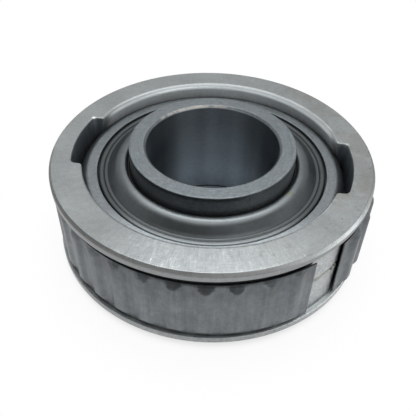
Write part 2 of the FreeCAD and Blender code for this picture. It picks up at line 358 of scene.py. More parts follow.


# The channel and the lower rim: dented and scratched, with painted shade where the band hides them and in
# the grease hole, and painted light on the lower rim and its ledge on the right. Gives where the feed groove
# holds grease.
def dressChannel(bench, sizes, angle, right):
    x, y, z, radius = bench.at
    floor, half = sizes["channel"], sizes["channelHalf"]
    channel = 1 - abs(z).ramp(half - 0.1, half)
    channel = channel * radius.ramp(sizes["slotReach"] + 1, sizes["slotReach"] + 2)
    channel = channel * (1 - radius.ramp(floor + 0.1, floor + 0.3))
    lowRim = (1 - z.ramp(-half - 0.1, -half)) * radius.ramp(floor - 1, floor)
    coarse = channel + lowRim
    dents = bench.cloud(0.9, 4.0, 0.75)
    scratches = bench.noise(x * 0.6, y * 0.6, z * 4.0, rough=0.7) - 0.5
    speckle = bench.cloud(2.4, 3.0, 0.8) - 0.5
    marks = (dents - 0.5) * sizes["dentTone"] + speckle * sizes["speckleTone"]
    marks = marks + scratches * sizes["scratchTone"]
    fromGap = abs(angle - math.radians(sizes["gapAngle"]))
    hidden = fromGap.ramp(math.radians(sizes["gapHalf"] - 0.5), math.radians(sizes["gapHalf"] + 0.5))
    hole = sizes["greaseHole"]
    besideHole = (angle - math.radians(hole["angle"])) * floor
    fromHole = (besideHole * besideHole + z * z).math("SQRT")
    inHole = channel * (1 - fromHole.ramp(hole["radius"] - 0.1, hole["radius"] + 0.15))
    ledge = z.near(-half, 0.2) * radius.ramp(floor + 0.1, floor + 0.4) * right
    bench.level *= 1 + channel * (sizes["channelLevel"] - 1)
    # painted shade where the band hides the channel
    bench.level *= 1 - channel * hidden * (1 - sizes["hiddenLevel"])
    # dents and scratches, and painted shade in the grease hole
    bench.level *= (1 + coarse * marks) * (1 - inHole * sizes["holeDark"])
    # painted light on the lower rim, most on the right, and on its ledge on the right
    bench.level *= 1 + lowRim * (0.05 + right * sizes["lowRimShine"]) + ledge * sizes["ledgeShine"]
    bench.rough += coarse * (dents - 0.5) * 0.5
    bench.height += coarse * dents * 1.5
    return channel * (1 - abs(z).ramp(sizes["feedHalf"] * 0.5, sizes["feedHalf"] * 1.3))


# The spherical seat: pale and dull from painted light, fading out towards the slots, with a painted
# highlight on its lip at the rear.
def dressSeat(bench, sizes, rearward):
    y, z, radius = bench.at[1:]
    half, slotHalf, reach = sizes["half"], sizes["slotHalf"], sizes["seat"]
    side = 1 - radius.ramp(reach - 0.74, reach - 0.44) * z.ramp(9, 10)
    side = side * (1 - radius.ramp(reach + 0.16, reach + 0.56))
    side = side * abs(rearward).ramp(slotHalf + 0.5, slotHalf + 4.5)
    seat = side * (1 - z.ramp(half - 1.1, half - 0.6))
    lip = side * z.near(half - 0.95, 0.85) * y.ramp(-4, 10)
    # painted light on the seat, and a painted highlight on the lip at the rear
    bench.level *= 1 + seat * (sizes["seatLevel"] - 1)
    bench.level = blend(bench.level, sizes["lipLevel"], lip)
    bench.metallic *= 1 - seat
    bench.metallic = blend(bench.metallic, sizes["lipMetallic"], lip)
    bench.rough -= lip * 0.08


# The upper face's edges, except at the rear left: a painted highlight, strongest on the right, where they
# are smooth, and painted shade on the outer edges elsewhere, where they are rougher. Gives the shaded part.
def dressEdges(bench, sizes, angle, right):
    z, radius = bench.at[2:]
    half = sizes["half"]
    edges = z.ramp(half - 1.3, half - 0.7) * (1 - z.ramp(half - 0.05, half))
    edges = edges * (1 - angle.ramp(math.radians(112), math.radians(132)))
    shadedEdges = edges * (1 - right) * radius.ramp(sizes["channel"], sizes["channel"] + 0.5)
    highlight = edges * (sizes["edgeLevel"] - 1 + right * sizes["edgeShine"])
    # painted highlight on the edges and painted shade on the outer edges away from the right
    bench.level *= 1 + highlight - shadedEdges * sizes["edgeDark"]
    bench.rough += edges * (0.12 - right * 0.28)
    bench.height *= 1 - edges
    return shadedEdges


# The slots: upright grooves inside, and a painted glint on the rear edge, brightest on the left. Gives their
# inside.
def dressSlots(bench, sizes, along, rearward):
    x, y, z, radius = bench.at
    half, reach = sizes["half"], sizes["slotReach"]
    slotEnd = sizes["slotHalf"] + sizes["slotFront"] / 2
    fromMiddle = abs(rearward + sizes["slotFront"] / 2)
    inSlot = along.ramp(reach - 3.8, reach - 3) * (1 - fromMiddle.ramp(slotEnd + 0.1, slotEnd + 0.4))
    inSlot = inSlot * (1 - z.ramp(half - 0.9, half - 0.3)) * (1 - radius.ramp(reach + 0.2, reach + 0.6))
    grooves = bench.noise(x * 1.3, y * 1.3, z * 0.05, detail=3.0, rough=0.7) - 0.5
    bench.level *= 1 + inSlot * (sizes["slotLevel"] - 1 + grooves * sizes["slotTone"])
    rearEdge = along.ramp(reach - 2, reach - 1.2) * (1 - radius.ramp(reach + 0.2, reach + 0.8))
    rearEdge = rearEdge * rearward.near(sizes["slotHalf"], 0.7) * z.ramp(half - 0.8, half - 0.4)
    glint = rearEdge * (1 - x.ramp(-5, 5) * sizes["slotGlint"])
    # painted glint on the slots' rear edge
    bench.level = blend(bench.level, sizes["lipLevel"], glint)
    return inSlot


# The upper face: scuffed, with bright dabs, at the front, which a painted highlight lifts, pitted on the
# right and with painted shade in two patches. Gives its warm haze.
def dressUpperFace(bench, sizes, angle):
    x, y, z, radius = bench.at
    upperFace = z.ramp(sizes["half"] - 0.3, sizes["half"] - 0.1)
    middle, spread = math.radians(sizes["scuffMiddle"]), math.radians(sizes["scuffSpread"])
    front = (1 - abs(angle - middle).ramp(spread * 0.7, spread * 1.25)) * upperFace
    alongX, alongY = x / radius, y / radius
    fine = bench.noise(alongX * 75, alongY * 75, radius * 0.5, detail=3.0, rough=0.7)
    cross = bench.noise(x * 0.5 + y * 0.25, y * 2.6, radius * 0.4, detail=3.0, rough=0.7)
    broad = bench.noise(alongX * 25, alongY * 25, radius * 0.2)
    scuffs = (fine - 0.5) * 1.5 + (cross - 0.5) * 0.9 + (broad - 0.5) * 1.2
    dabs = fine.ramp(0.58, 0.7) * broad.ramp(0.45, 0.6) * (0.4 + radius.ramp(39, 41.5) * 0.7)
    # scuffs and dabs at the front, lifted by a painted highlight
    bench.level *= 1 + front * (scuffs * sizes["scuffTone"] + dabs + sizes["scuffLevel"] - 1)
    bench.rough += front * ((fine - 0.5) * 0.3 - 0.05)
    pits = bench.cloud(1.6, 1.0).ramp(0.68, 0.74) * upperFace * x.ramp(15, 32)
    bench.level *= 1 - pits * sizes["pitDark"]
    bench.height -= pits * sizes["pitDepth"]
    haze = bench.cloud(0.12, 4.0, 0.65).ramp(0.4, 0.65)
    haze = haze * upperFace * x.ramp(5, 32)
    bench.level *= 1 - haze * sizes["hazeDark"]
    # painted shade in patches of the upper face
    for azimuth, width, dark in sizes["dimPatches"]:
        bench.level *= 1 - angle.nearAngle(azimuth, width) * upperFace * dark
    return haze


# The carrier's finish with its painted light and shade, area by area, and its stains: grease in the feed
# groove, brown spots on the right, a painted bluish shade in the slots, a dark brown of rust and painted
# shade on the shaded edges and haze on the upper face.
def carrierDress(bench, sizes):
    x, y = bench.at[:2]
    angle = y.math("ARCTAN2", x)
    right = angle.nearAngle(sizes["rightAngle"], sizes["rightWidth"])
    turn = math.radians(sizes["slotAngle"])
    along = abs(x * math.cos(turn) + y * math.sin(turn))
    rearward = y * math.cos(turn) - x * math.sin(turn)
    feed = dressChannel(bench, sizes, angle, right)
    dressSeat(bench, sizes, rearward)
    shadedEdges = dressEdges(bench, sizes, angle, right)
    inSlot = dressSlots(bench, sizes, along, rearward)
    haze = dressUpperFace(bench, sizes, angle)
    clouds = bench.cloud(0.25, 3.0)
    spots = x.near(34, 9) * y.near(-17, 9) * clouds.ramp(0.42, 0.7)
    # the slots' share is a painted bluish shade; the brown on the shaded edges is rust and painted shade
    return {
        "grease": feed * clouds.ramp(0.2, 0.6), "spots": spots, "slots": inSlot,
        "rust": shadedEdges * clouds, "haze": haze,
    }


carrierSteel = steelMaterial("carrierSteel", plainSteel, carrierDress, carrierSizes)


# A quarter of the opening's outline, from the middle of a slot to a quarter turn away: the slot's back arc,
# its corner, its side wall, the rounded lip and the mouth circle. A row is (x, y, the direction into the
# steel, how far the edge is rounded).
def mouthQuarter(sizes, mouth):
    half, reach, corner, lip = (sizes[key] for key in ("slotHalf", "slotReach", "slotCorner", "slotLip"))
    cornerCentre = np.array([math.sqrt((reach - corner) ** 2 - (half - corner) ** 2), half - corner])
    lipCentre = np.array([math.sqrt((mouth + lip) ** 2 - (half + lip) ** 2), half + lip])
    backEnd = math.atan2(cornerCentre[1], cornerCentre[0])
    mouthStart = math.atan2(lipCentre[1], lipCentre[0])

    def rays(angles):
        return np.column_stack([np.cos(angles), np.sin(angles)])

    def run(places, inwards, rounding):
        return np.column_stack([places, inwards, np.broadcast_to(rounding, len(places))])

    back = rays(np.linspace(0, backEnd, 12))
    turn = rays(np.linspace(backEnd, math.pi / 2, 12)[1:])
    wall = np.linspace(cornerCentre[0], lipCentre[0], 6)[1:]
    straight = np.tile([0.0, 1.0], (len(wall), 1))
    bend = rays(np.linspace(-math.pi / 2, mouthStart - math.pi, 11)[1:])
    onLip = blend(sizes["slotRound"], sizes["lipRound"], np.linspace(0, 1, 10))
    hole = sizes["greaseHole"]
    fromSlot = dict(hole, angle=abs(hole["angle"] - sizes["slotAngle"]))
    around = anglesPastHole(mouthStart, math.pi / 2, fromSlot, sizes["channel"], (14, 36, 38))
    around = np.append(around[1:], math.pi / 2)
    growth = smoothStep((around - mouthStart) / 0.2) * (sizes["mouthRound"] - sizes["lipRound"])
    return np.concatenate([
        run(reach * back, back, sizes["slotRound"]),
        run(cornerCentre + corner * turn, turn, sizes["slotRound"]),
        run(np.column_stack([wall, np.full(len(wall), half)]), straight, sizes["slotRound"]),
        run(lipCentre + lip * bend, -bend, onLip),
        run(mouth * rays(around), rays(around), sizes["lipRound"] + growth),
    ])


# The whole outline, counterclockwise, from mirrored quarters, turned onto the line of the slots. The slots
# reach a little farther to the front than to the rear.
def mouthOutline(sizes, mouth):
    frontSizes = dict(sizes, slotHalf=sizes["slotHalf"] + sizes["slotFront"])
    halves = []
    for quarter in (mouthQuarter(sizes, mouth), mouthQuarter(frontSizes, mouth)):
        halves.append(np.concatenate([quarter, (quarter * [-1, 1, -1, 1, 1])[-2::-1]]))
    whole = np.concatenate([halves[0], (halves[1] * [1, -1, 1, -1, 1])[-2:0:-1]])
    angle = math.radians(sizes["slotAngle"])
    turn = np.array([[math.cos(angle), math.sin(angle)], [-math.sin(angle), math.cos(angle)]])
    return whole[:, 0:2] @ turn, whole[:, 2:4] @ turn, whole[:, 4]


# The ring as one grid: a column for each place of the opening's outline, a row for each step round the
# section. Above the middle the inside radius is the larger of the seat's and the slot's, so that the slots'
# floors and walls come out of the same rows as the seat.
def carrierRing(sizes):
    half, seat, rim, chamfer = (sizes[key] for key in ("half", "seat", "rim", "chamfer"))
    channel, channelHalf, rounding = sizes["channel"], sizes["channelHalf"], sizes["mouthRound"]
    hole = sizes["greaseHole"]
    mouth = math.sqrt(seat ** 2 - (half - rounding) ** 2)
    place, inwards, edge = mouthOutline(sizes, mouth)
    edge = edge * (0.5 + 0.5 * smoothStep((place[:, 1] + 8) / 16))  # half as wide at the front
    theta = np.arctan2(place[:, 1], place[:, 0])
    reach = np.hypot(place[:, 0], place[:, 1])
    rows = []

    def seatAt(z):
        return np.sqrt(np.clip(seat ** 2 - z ** 2, 0, None))

    def addFlat(flat, z):
        rows.append(np.column_stack([flat, np.broadcast_to(z, len(flat))]))

    # the outside, from the upper face's rim down to the lower face
    upper = roundedOutline([
        (rim - 2 * chamfer, half, 0), (rim - chamfer, half, 0.2), (rim, half - chamfer, 0.2),
        (rim, channelHalf, 0.12), (channel, channelHalf, 0.12), (channel, hole["patch"] + 0.4, 0),
    ], closed=False)
    rows += [turnedPlaces(radius, z, theta) for radius, z in upper]
    for level in np.linspace(hole["patch"], -hole["patch"], 35):
        angle, z, depth = holePatch(theta, np.full(len(theta), level), channel, hole)
        groove = sizes["feedDepth"] * np.clip(1 - np.abs(z) / sizes["feedHalf"], 0, 1)
        rows.append(turnedPlaces(channel - np.maximum(groove, depth), z, angle))
    rows += [turnedPlaces(radius, -z, theta) for radius, z in upper[::-1]]

    # the lower face and the seat up to the middle plane
    lowerRound = sizes["lowerRound"]
    lower = roundedOutline([
        (rim - 3 * chamfer, -half, 0), (seatAt(half - lowerRound) + lowerRound, -half, 0.1),
        (seatAt(half - lowerRound), lowerRound - half, 0.1), (seatAt(half - 1), 1 - half, 0),
    ], closed=False)
    rows += [turnedPlaces(radius, z, theta) for radius, z in lower]
    groove, grooveHalf = sizes["seatGroove"], sizes["seatGrooveHalf"]
    rows += [turnedPlaces(seatAt(z), z, theta) for z in np.linspace(1.5 - half, -grooveHalf, 10)]
    rows += [turnedPlaces(groove, z, theta) for z in (-grooveHalf, -0.05)]

    # the upper half of the inside: groove, seat and slots
    rows += [turnedPlaces(np.maximum(reach, groove), z, theta) for z in (0, grooveHalf)]
    bend = np.clip(seatAt(reach), grooveHalf + 0.3, half - 2 * rounding)
    heights = [blend(grooveHalf, bend, share) for share in np.linspace(0, 1, 8)]
    heights += [blend(bend, half - edge, share) for share in np.linspace(0, 1, 7)[1:]]
    rows += [turnedPlaces(np.maximum(reach, seatAt(z)), z, theta) for z in heights]

    # the upper edge, rounded across the outline's own direction, and the upper face
    for turn in np.radians(np.linspace(90, 0, 8)[1:]):
        addFlat(place + inwards * (edge * (1 - math.sin(turn)))[:, None], half - edge * (1 - math.cos(turn)))
    start = place + inwards * edge[:, None]
    end = turnedPlaces(rim - 2 * chamfer, half, theta)[:, 0:2]
    for share in (0.03, 0.35, 0.7, 0.97):
        addFlat(blend(start, end, share), half)
    gridPiece("carrierRing", np.stack(rows, axis=1), "carrier", "carrier_steel", carrierSteel, "carrier")


carrierRing(carrierSizes)
print("carrier made")


# Tolerance ring

bandSizes = {
    "inside": 41.5, "thickness": 0.4, "half": 9.1, "sink": -1.0, "shift": 0.4, "lean": 25.0,
    "gap": 10.16, "gapAngle": -47.95, "endLand": 4.5, "pitch": 7.13, "rise": 0.7, "sideRise": 1.25,
    "base": 6.0, "crest": 1.2, "ramp": 1.7, "rim": 0.15, "soft": 0.08, "waveColumns": 28, "power": 5,
    "sidePart": 0.24, "sideFade": 0.1,  # parts of the band's length
    # the finish and its painted shade: angles are degrees from +x
    "streakTone": 0.7, "stainTone": 0.45, "blotchTone": 0.6, "topShade": 0.2,
    "darkestAngle": -93.0, "darkestWidth": 44.0, "rampTone": 0.6, "rimTone": 0.6,
    "patchHalf": 2.15, "patchDrop": 2.5, "patchShift": 0.8, "patchRagged": 1.1,
    "dimAngle": -66.0, "dimWidth": 26.0, "dimDark": 0.05,
}


# How the waves are spaced: the band's outer radius, the angle from wave to wave, the gap's angle and the
# angles from the band's first end to the waves' middles. The lands at both ends are equally long.
def waveSpacing(sizes):
    outer = sizes["inside"] + sizes["thickness"]
    pitch, gap = sizes["pitch"] / outer, sizes["gap"] / outer
    count = int((full * outer - sizes["gap"] - 2 * sizes["endLand"]) / sizes["pitch"]) + 1
    toFirst = (full - gap - (count - 1) * pitch) / 2
    return outer, pitch, gap, toFirst + np.arange(count) * pitch


# The band's finish: upright streaks, stains and blotches, and painted shade: ragged half-moons at the upper
# ends of the waves and a strip along the upper rim, both darkest at the front, and more over the upper part,
# a little more on the right. WRAP counts the angle from the nearest wave's middle.
def bandDress(bench, sizes):
    x, y, z = bench.at[:3]
    lean = math.radians(sizes["lean"])
    outX, outY = x - sizes["shift"] * math.cos(lean), y - sizes["shift"] * math.sin(lean)
    angle = outY.math("ARCTAN2", outX)
    outer, pitch, gap, centres = waveSpacing(sizes)
    onOutside = (outX * outX + outY * outY).math("SQRT").ramp(outer - 0.05, outer)
    top = sizes["sink"] + sizes["half"]
    darkest = angle.nearAngle(sizes["darkestAngle"], sizes["darkestWidth"])
    streaks = bench.noise(x * 0.8, y * 0.8, z * 0.05, detail=3.0, rough=0.65) - 0.5
    stains = bench.noise(x * 0.25, y * 0.25, z * 0.12, detail=4.0, rough=0.6) - 0.5
    blotches = bench.cloud(0.35, 4.0, 0.7) - 0.5
    firstWave = math.radians(sizes["gapAngle"]) + gap / 2 + centres[0] + sizes["patchShift"] / outer
    across = ((angle - firstWave) / pitch).math("WRAP", 0.5, -0.5) * sizes["pitch"] / sizes["patchHalf"]
    below = (sizes["half"] - abs(z - sizes["sink"])) / sizes["patchDrop"]
    reach = (across * across + below * below).math("SQRT") / (0.35 + darkest * 0.65)
    rampShade = 1 - (reach + blotches * sizes["patchRagged"]).ramp(0.8, 1.1)
    rampShade = rampShade * onOutside * z.ramp(sizes["sink"] - 1, sizes["sink"] + 1) * (0.45 + darkest * 0.55)
    rimShade = z.ramp(top - 0.9, top - 0.2) * onOutside * darkest
    dim = angle.nearAngle(sizes["dimAngle"], sizes["dimWidth"]) * z.ramp(1, 7)
    bench.level *= 1 + streaks * sizes["streakTone"] + stains * sizes["stainTone"]
    # painted shade along the upper rim and at the waves' upper ends
    bench.level *= (1 - rimShade * sizes["rimTone"]) * (1 - rampShade * sizes["rampTone"])
    # blotches, and painted shade over the upper part
    bench.level *= 1 + blotches * sizes["blotchTone"] - z.ramp(-1, 7) * sizes["topShade"]
    # painted shade over the upper part on the right
    bench.level *= 1 - dim * sizes["dimDark"]
    bench.rough += streaks * 0.1
    bench.height += streaks * 0.8
    return {}


bandSteel = steelMaterial("bandSteel", {
    **plainSteel, "level": 0.168, "tint": (0.925, 1.0, 1.055), "rough": 0.4, "metallic": 0.8,
    "ringTone": 0.0, "ringDepth": 0.1, "strokeTone": 0.25, "strokeScale": 60.0, "strokeDrift": 0.03,
    "patchTone": 0.3,
}, bandDress, bandSizes)


# The height of the pressed waves. A wave is a block with sloping sides and ends: the side slope counts
# from the nearest wave's middle, the end slope from the sheet's rims, and a high power of the two
# shortfalls lets the lower slope rule, with a narrow rounding where they meet. The waves are taller in the
# first quarter of the band, on the photograph's right side.
def waveRise(along, z, sizes, centres):
    nearest = np.min(np.abs(along[:, None] - centres[None, :]), axis=1)
    side = (sizes["base"] / 2 - nearest) / ((sizes["base"] - sizes["crest"]) / 2)
    end = (sizes["half"] - sizes["rim"] - np.abs(z)) / sizes["ramp"]
    side, end = smoothStep(side)[:, None], (0.5 * smoothStep(end) + 0.5 * np.clip(end, 0, 1))[None, :]
    power = sizes["power"]
    shortfall = ((1 - side) ** power + (1 - end) ** power) ** (1 / power)
    later = smoothStep((along / along[-1] - sizes["sidePart"]) / sizes["sideFade"])[:, None]
    return blend(sizes["sideRise"], sizes["rise"], later) * (1 - np.minimum(1, shortfall))


# The open spring band as one grid. A column is the sheet's section at one angle, in the order upper rim,
# outside, lower rim, inside, so that its k-th points from both ends lie across the sheet from each other and
# the band's two ends close with strips between them.
def toleranceBand(sizes):
    inner, half, soft = (sizes[key] for key in ("inside", "half", "soft"))
    outer, pitch, gap, centres = waveSpacing(sizes)
    span, count = full - gap, len(centres)
    first = centres[0] - pitch / 2
    waves = np.linspace(first, first + count * pitch, count * sizes["waveColumns"] + 1)
    along = np.concatenate([np.linspace(0, first, 10)[:-1], waves, np.linspace(waves[-1], span, 10)[1:]])

    slope = half - sizes["rim"] - np.linspace(-0.06, sizes["ramp"] + 0.06, 13)
    upper = np.concatenate([[half - soft], slope, np.linspace(slope[-1], 0, 6)[1:]])
    levels = np.concatenate([upper, -upper[-2::-1]])
    rise = waveRise(along * outer, levels, sizes, centres * outer)
    corner = soft * (1 - math.sqrt(0.5))
    rimOutside = np.broadcast_to([outer - soft, outer - corner], (len(along), 2))
    rimInside = np.broadcast_to([inner + corner, inner + soft], (len(along), 2))
    radius = np.concatenate([
        rimOutside, outer + rise, rimOutside[:, ::-1],
        rimInside[:, ::-1], inner + rise[:, ::-1], rimInside,
    ], axis=1)
    rimZ = np.array([half, half - corner])
    height = np.concatenate([rimZ, levels, -rimZ[::-1], -rimZ, levels[::-1], rimZ[::-1]])
    angle = along + math.radians(sizes["gapAngle"]) + gap / 2
    lean = math.radians(sizes["lean"])
    shift = np.array([sizes["shift"] * math.cos(lean), sizes["shift"] * math.sin(lean), 0])
    points = (turnedPlaces(radius, height + sizes["sink"], angle[:, None]) + shift).reshape(-1, 3)

    rows = len(height)
    k = np.arange(rows // 2 - 1)
    cap = np.stack([k, rows - 1 - k, rows - 2 - k, k + 1], axis=1)
    lastColumn = (len(along) - 1) * rows
    faces = np.concatenate([gridFaces(len(along), rows, False, True), cap[:, ::-1], lastColumn + cap])
    addPiece("toleranceBand", points, faces, "tolerance_ring", "spring_steel", bandSteel, "tolerance_ring")


toleranceBand(bandSizes)
print("tolerance ring made")


# Outer race

raceSizes = {
    "sphere": 36.0, "half": 9.0, "corner": 2.5, "groove": 5.723, "grooveCentre": 26.623,
    # radius, height, rounding: mouth, the shield's seat, shoulder
    "side": [
        (30.656, 9.0, 0.15), (30.656, 7.65, 0.05), (31.356, 7.65, 0.05), (31.356, 7.0, 0.05),
        (30.056, 7.0, 0.1),
    ],
    "greaseHole": {"angle": -42.0, "radius": 0.7, "depth": 3.0, "patch": 1.5},
    # painted light at the front and painted shade in the rounded corner
    "frontShine": 0.9, "cornerDark": 0.6,  # the finish
}


# The race's painted light and shade: painted light on its upper face at the front, and painted shade in its
# rounded corner all round.
def raceDress(bench, sizes):
    y, z, radius = bench.at[1:]
    corner = radius.ramp(32.9, 33.8) * z.ramp(2, 4)
    front = (1 - y.ramp(-30, -18)) * z.ramp(sizes["half"] - 1, sizes["half"])
    # painted light at the front and painted shade in the rounded corner
    bench.level *= (1 + front * sizes["frontShine"]) * (1 - corner * sizes["cornerDark"])
    return {}


raceLook = {
    **plainSteel, "level": 0.19, "tint": (0.93, 1.0, 1.045), "rough": 0.42, "patchTone": 0.25,
    "strokeTone": 0.3, "ringScale": 2.6, "ringTone": 0.4, "ringBreak": 16.0,
    "grainScale": 1.8, "grainTone": 0.7,
}
raceSteel = steelMaterial("raceSteel", raceLook, raceDress, raceSizes)


# The slice of a ball, with shield seats, shoulders and the ball groove inside and a drilled grease hole.
# Its outline starts on the ball above the hole, so that the first rows are the hole's patch.
def outerRace(sizes):
    sphere, halfWidth, corner, side = (sizes[key] for key in ("sphere", "half", "corner", "side"))
    hole = sizes["greaseHole"]
    inner = sphere - corner
    cornerZ = halfWidth - corner
    cornerR = math.sqrt(inner ** 2 - cornerZ ** 2)
    lean = math.degrees(math.atan2(cornerZ, cornerR))
    patchEnd = math.degrees(math.asin((hole["patch"] + 0.3) / sphere))
    grooveEdge = math.degrees(math.acos((side[-1][0] - sizes["grooveCentre"]) / sizes["groove"]))
    corners = arcCorners((0, 0), sphere, patchEnd, lean, 14)
    corners += arcCorners((cornerR, cornerZ), corner, lean, 90, 10)[1:]
    corners += [(cornerR - 0.1, halfWidth, 0)] + side
    corners += arcCorners((sizes["grooveCentre"], 0), sizes["groove"], grooveEdge, -grooveEdge, 18)
    corners += [(r, -z, soft) for r, z, soft in reversed(side)] + [(cornerR - 0.1, -halfWidth, 0)]
    corners += arcCorners((cornerR, -cornerZ), corner, -90, -lean, 10)[:-1]
    corners += arcCorners((0, 0), sphere, -lean, -patchEnd, 14)
    outline = roundedOutline(corners)
    angles = anglesPastHole(-math.pi, math.pi, hole, sphere, (160, 30, 240))
    rows = [turnedPlaces(radius, z, angles) for radius, z in outline]
    for level in np.linspace(-hole["patch"], hole["patch"], 23):
        angle, z, depth = holePatch(angles, np.full(len(angles), level), sphere, hole)
        rows.append(turnedPlaces(np.sqrt(sphere ** 2 - z ** 2) - depth, z, angle))
    gridPiece("outerRace", np.stack(rows, axis=1), "race", "race_steel", raceSteel, "outer_race")


outerRace(raceSizes)


# Inner race

sleeveSizes = {
    "bore": boreRadius, "sleeve": 21.93, "shoulder": 23.444, "top": sleeveTop, "bottom": sleeveBottom,
    "chamfer": 0.6, "edge": 0.25, "middleHalf": 7.6, "slope": 0.3785, "groove": 5.723,
    "grooveCentre": 26.877, "columns": 480,
    # the finish and its painted light and shade: tones multiply the bore's grey level, shades darken the
    # outside
    "boreLevel": 0.195, "bandTone": 1.4, "boreTone": 2.7, "lowTone": 1.6, "sideTone": 2.0, "topTone": 1.1,
    "outsideShade": 0.35, "upperShade": 0.4, "wornMetal": 0.7,
    # the painted warm glint and the bore's painted bluish shade: how strong, and the colour
    "warm": (0.65, (0.68, 0.61, 0.55)), "blue": (0.15, (0.03, 0.05, 0.08)),
}


# The sleeve's finish: soft bands down the bore, with painted shade aside and above and painted light below,
# painted shade on the outside below the face, a painted warm glint on the rear of the bore's chamfer and a
# painted bluish shade in the bore.
def sleeveDress(bench, sizes):
    x, y, z, radius = bench.at
    bore, sleeve, top = sizes["bore"], sizes["sleeve"], sizes["top"]
    inBore = 1 - radius.ramp(bore + 0.05, bore + 0.25)
    bands = bench.noise(x * 0.13, y * 0.13, z * 0.01, detail=1.5, rough=0.4) - 0.5
    # painted shade at the bore's sides and top, and painted light low in it
    aside = x.ramp(8, 18) + (0 - x).ramp(8, 15)
    low = (1 - z.ramp(-10, 2)) * (1 - aside * 0.9) * sizes["lowTone"]
    fromSide = aside * (sizes["sideTone"] - z.ramp(4, 12) * 0.6)
    fromTop = z.ramp(0, 13) * (sizes["topTone"] - aside * 0.5)
    banded = sizes["boreLevel"] * (0.65 + bands * sizes["bandTone"]) + bench.level * 0.35
    tone = sizes["boreTone"] - fromSide - fromTop + low
    bench.level = blend(bench.level, banded * tone, inBore)
    # painted shade on the outside below the face, except on the right
    outside = radius.ramp(sleeve - 0.2, sleeve - 0.05) * (1 - z.ramp(top - 0.3, top - 0.1))
    shade = sizes["outsideShade"] + z.ramp(top - 1.7, top - 0.6) * sizes["upperShade"]
    bench.level *= 1 - outside * (shade * (1 - x.ramp(4, 12)))
    # a painted warm glint on the rear of the bore's chamfer, broken up by a cloud
    chamfer = radius.near(bore + 0.35, 0.6) * z.ramp(top - 0.75, top - 0.3)
    glintBreak = bench.cloud(0.5, 3.0).ramp(0.3, 0.6)
    warm = chamfer * y.ramp(6, 14) * (1 - x.ramp(-4, 10)) * glintBreak
    bench.metallic *= 1 - warm * sizes["wornMetal"]
    # the bore's blue is a painted shade
    return {"warm": warm, "blue": inBore}


sleeveSteel = steelMaterial("sleeveSteel", {
    **raceLook, "level": 0.195, "tint": (0.91, 1.0, 1.06), "patchTone": 0.15, "ringTone": 0.9,
    "strokeScale": 90.0, "grainTone": 0.6,
}, sleeveDress, sleeveSizes)


# The long sleeve with its thicker middle and the ball groove in it.
def innerRace(sizes):
    bore, sleeve, shoulder = sizes["bore"], sizes["sleeve"], sizes["shoulder"]
    top, bottom, chamfer, edge = sizes["top"], sizes["bottom"], sizes["chamfer"], sizes["edge"]
    middle, slopeEnd = sizes["middleHalf"], sizes["middleHalf"] + sizes["slope"]
    grooveEdge = math.degrees(math.acos((sizes["grooveCentre"] - shoulder) / sizes["groove"]))
    corners = [
        (bore, bottom + chamfer, 0.1), (bore + chamfer, bottom, 0.1), (sleeve, bottom, edge),
        (sleeve, -slopeEnd, 0.1), (shoulder, -middle, 0.2),
    ]
    centre = (sizes["grooveCentre"], 0)
    corners += arcCorners(centre, sizes["groove"], 180 + grooveEdge, 180 - grooveEdge, 20)
    corners += [
        (shoulder, middle, 0.2), (sleeve, slopeEnd, 0.1), (sleeve, top, edge),
        (bore + chamfer, top, 0.15), (bore, top - chamfer, 0.15),
    ]
    outline, columns = roundedOutline(corners), sizes["columns"]
    turnedPiece("innerRace", outline, columns, "inner_race", "race_steel", sleeveSteel, "inner_race")


innerRace(sleeveSizes)


# Shields and rubber lips

shieldSizes = {
    # radius, height, rounding: rim, leg, hem, step, cone, bead, collar
    "path": [
        (31.31, 7.3, 0), (30.206, 7.3, 0.35), (30.006, 8.45, 0.35), (29.206, 8.45, 0.32),
        (28.806, 8.05, 0.32), (27.906, 8.05, 0.6), (24.8, 10.7, 3.0), (22.9, 10.7, 0.6), (22.9, 9.3, 0),
    ],
    "sheet": 0.6, "columns": 480,
    # the finish and its painted light and shade: the hem's rise and the cone's ends are radii, darks take
    # from the grey level
    "hemEdge": 27.906, "hemFrom": 28.5, "hemTo": 29.6, "hemLevel": 0.5, "hemShine": 0.15,
    "beadCrest": 23.8, "beadShine": 0.6,
    "coneFrom": 24.2, "coneTo": 27.8, "coneDark": 0.28, "frontDark": 0.27, "sideDark": 0.2,
    "greaseX": 19.0, "greaseY": -13.4, "greaseReach": 1.6, "grease": (0.7, (0.2, 0.21, 0.08)),
}


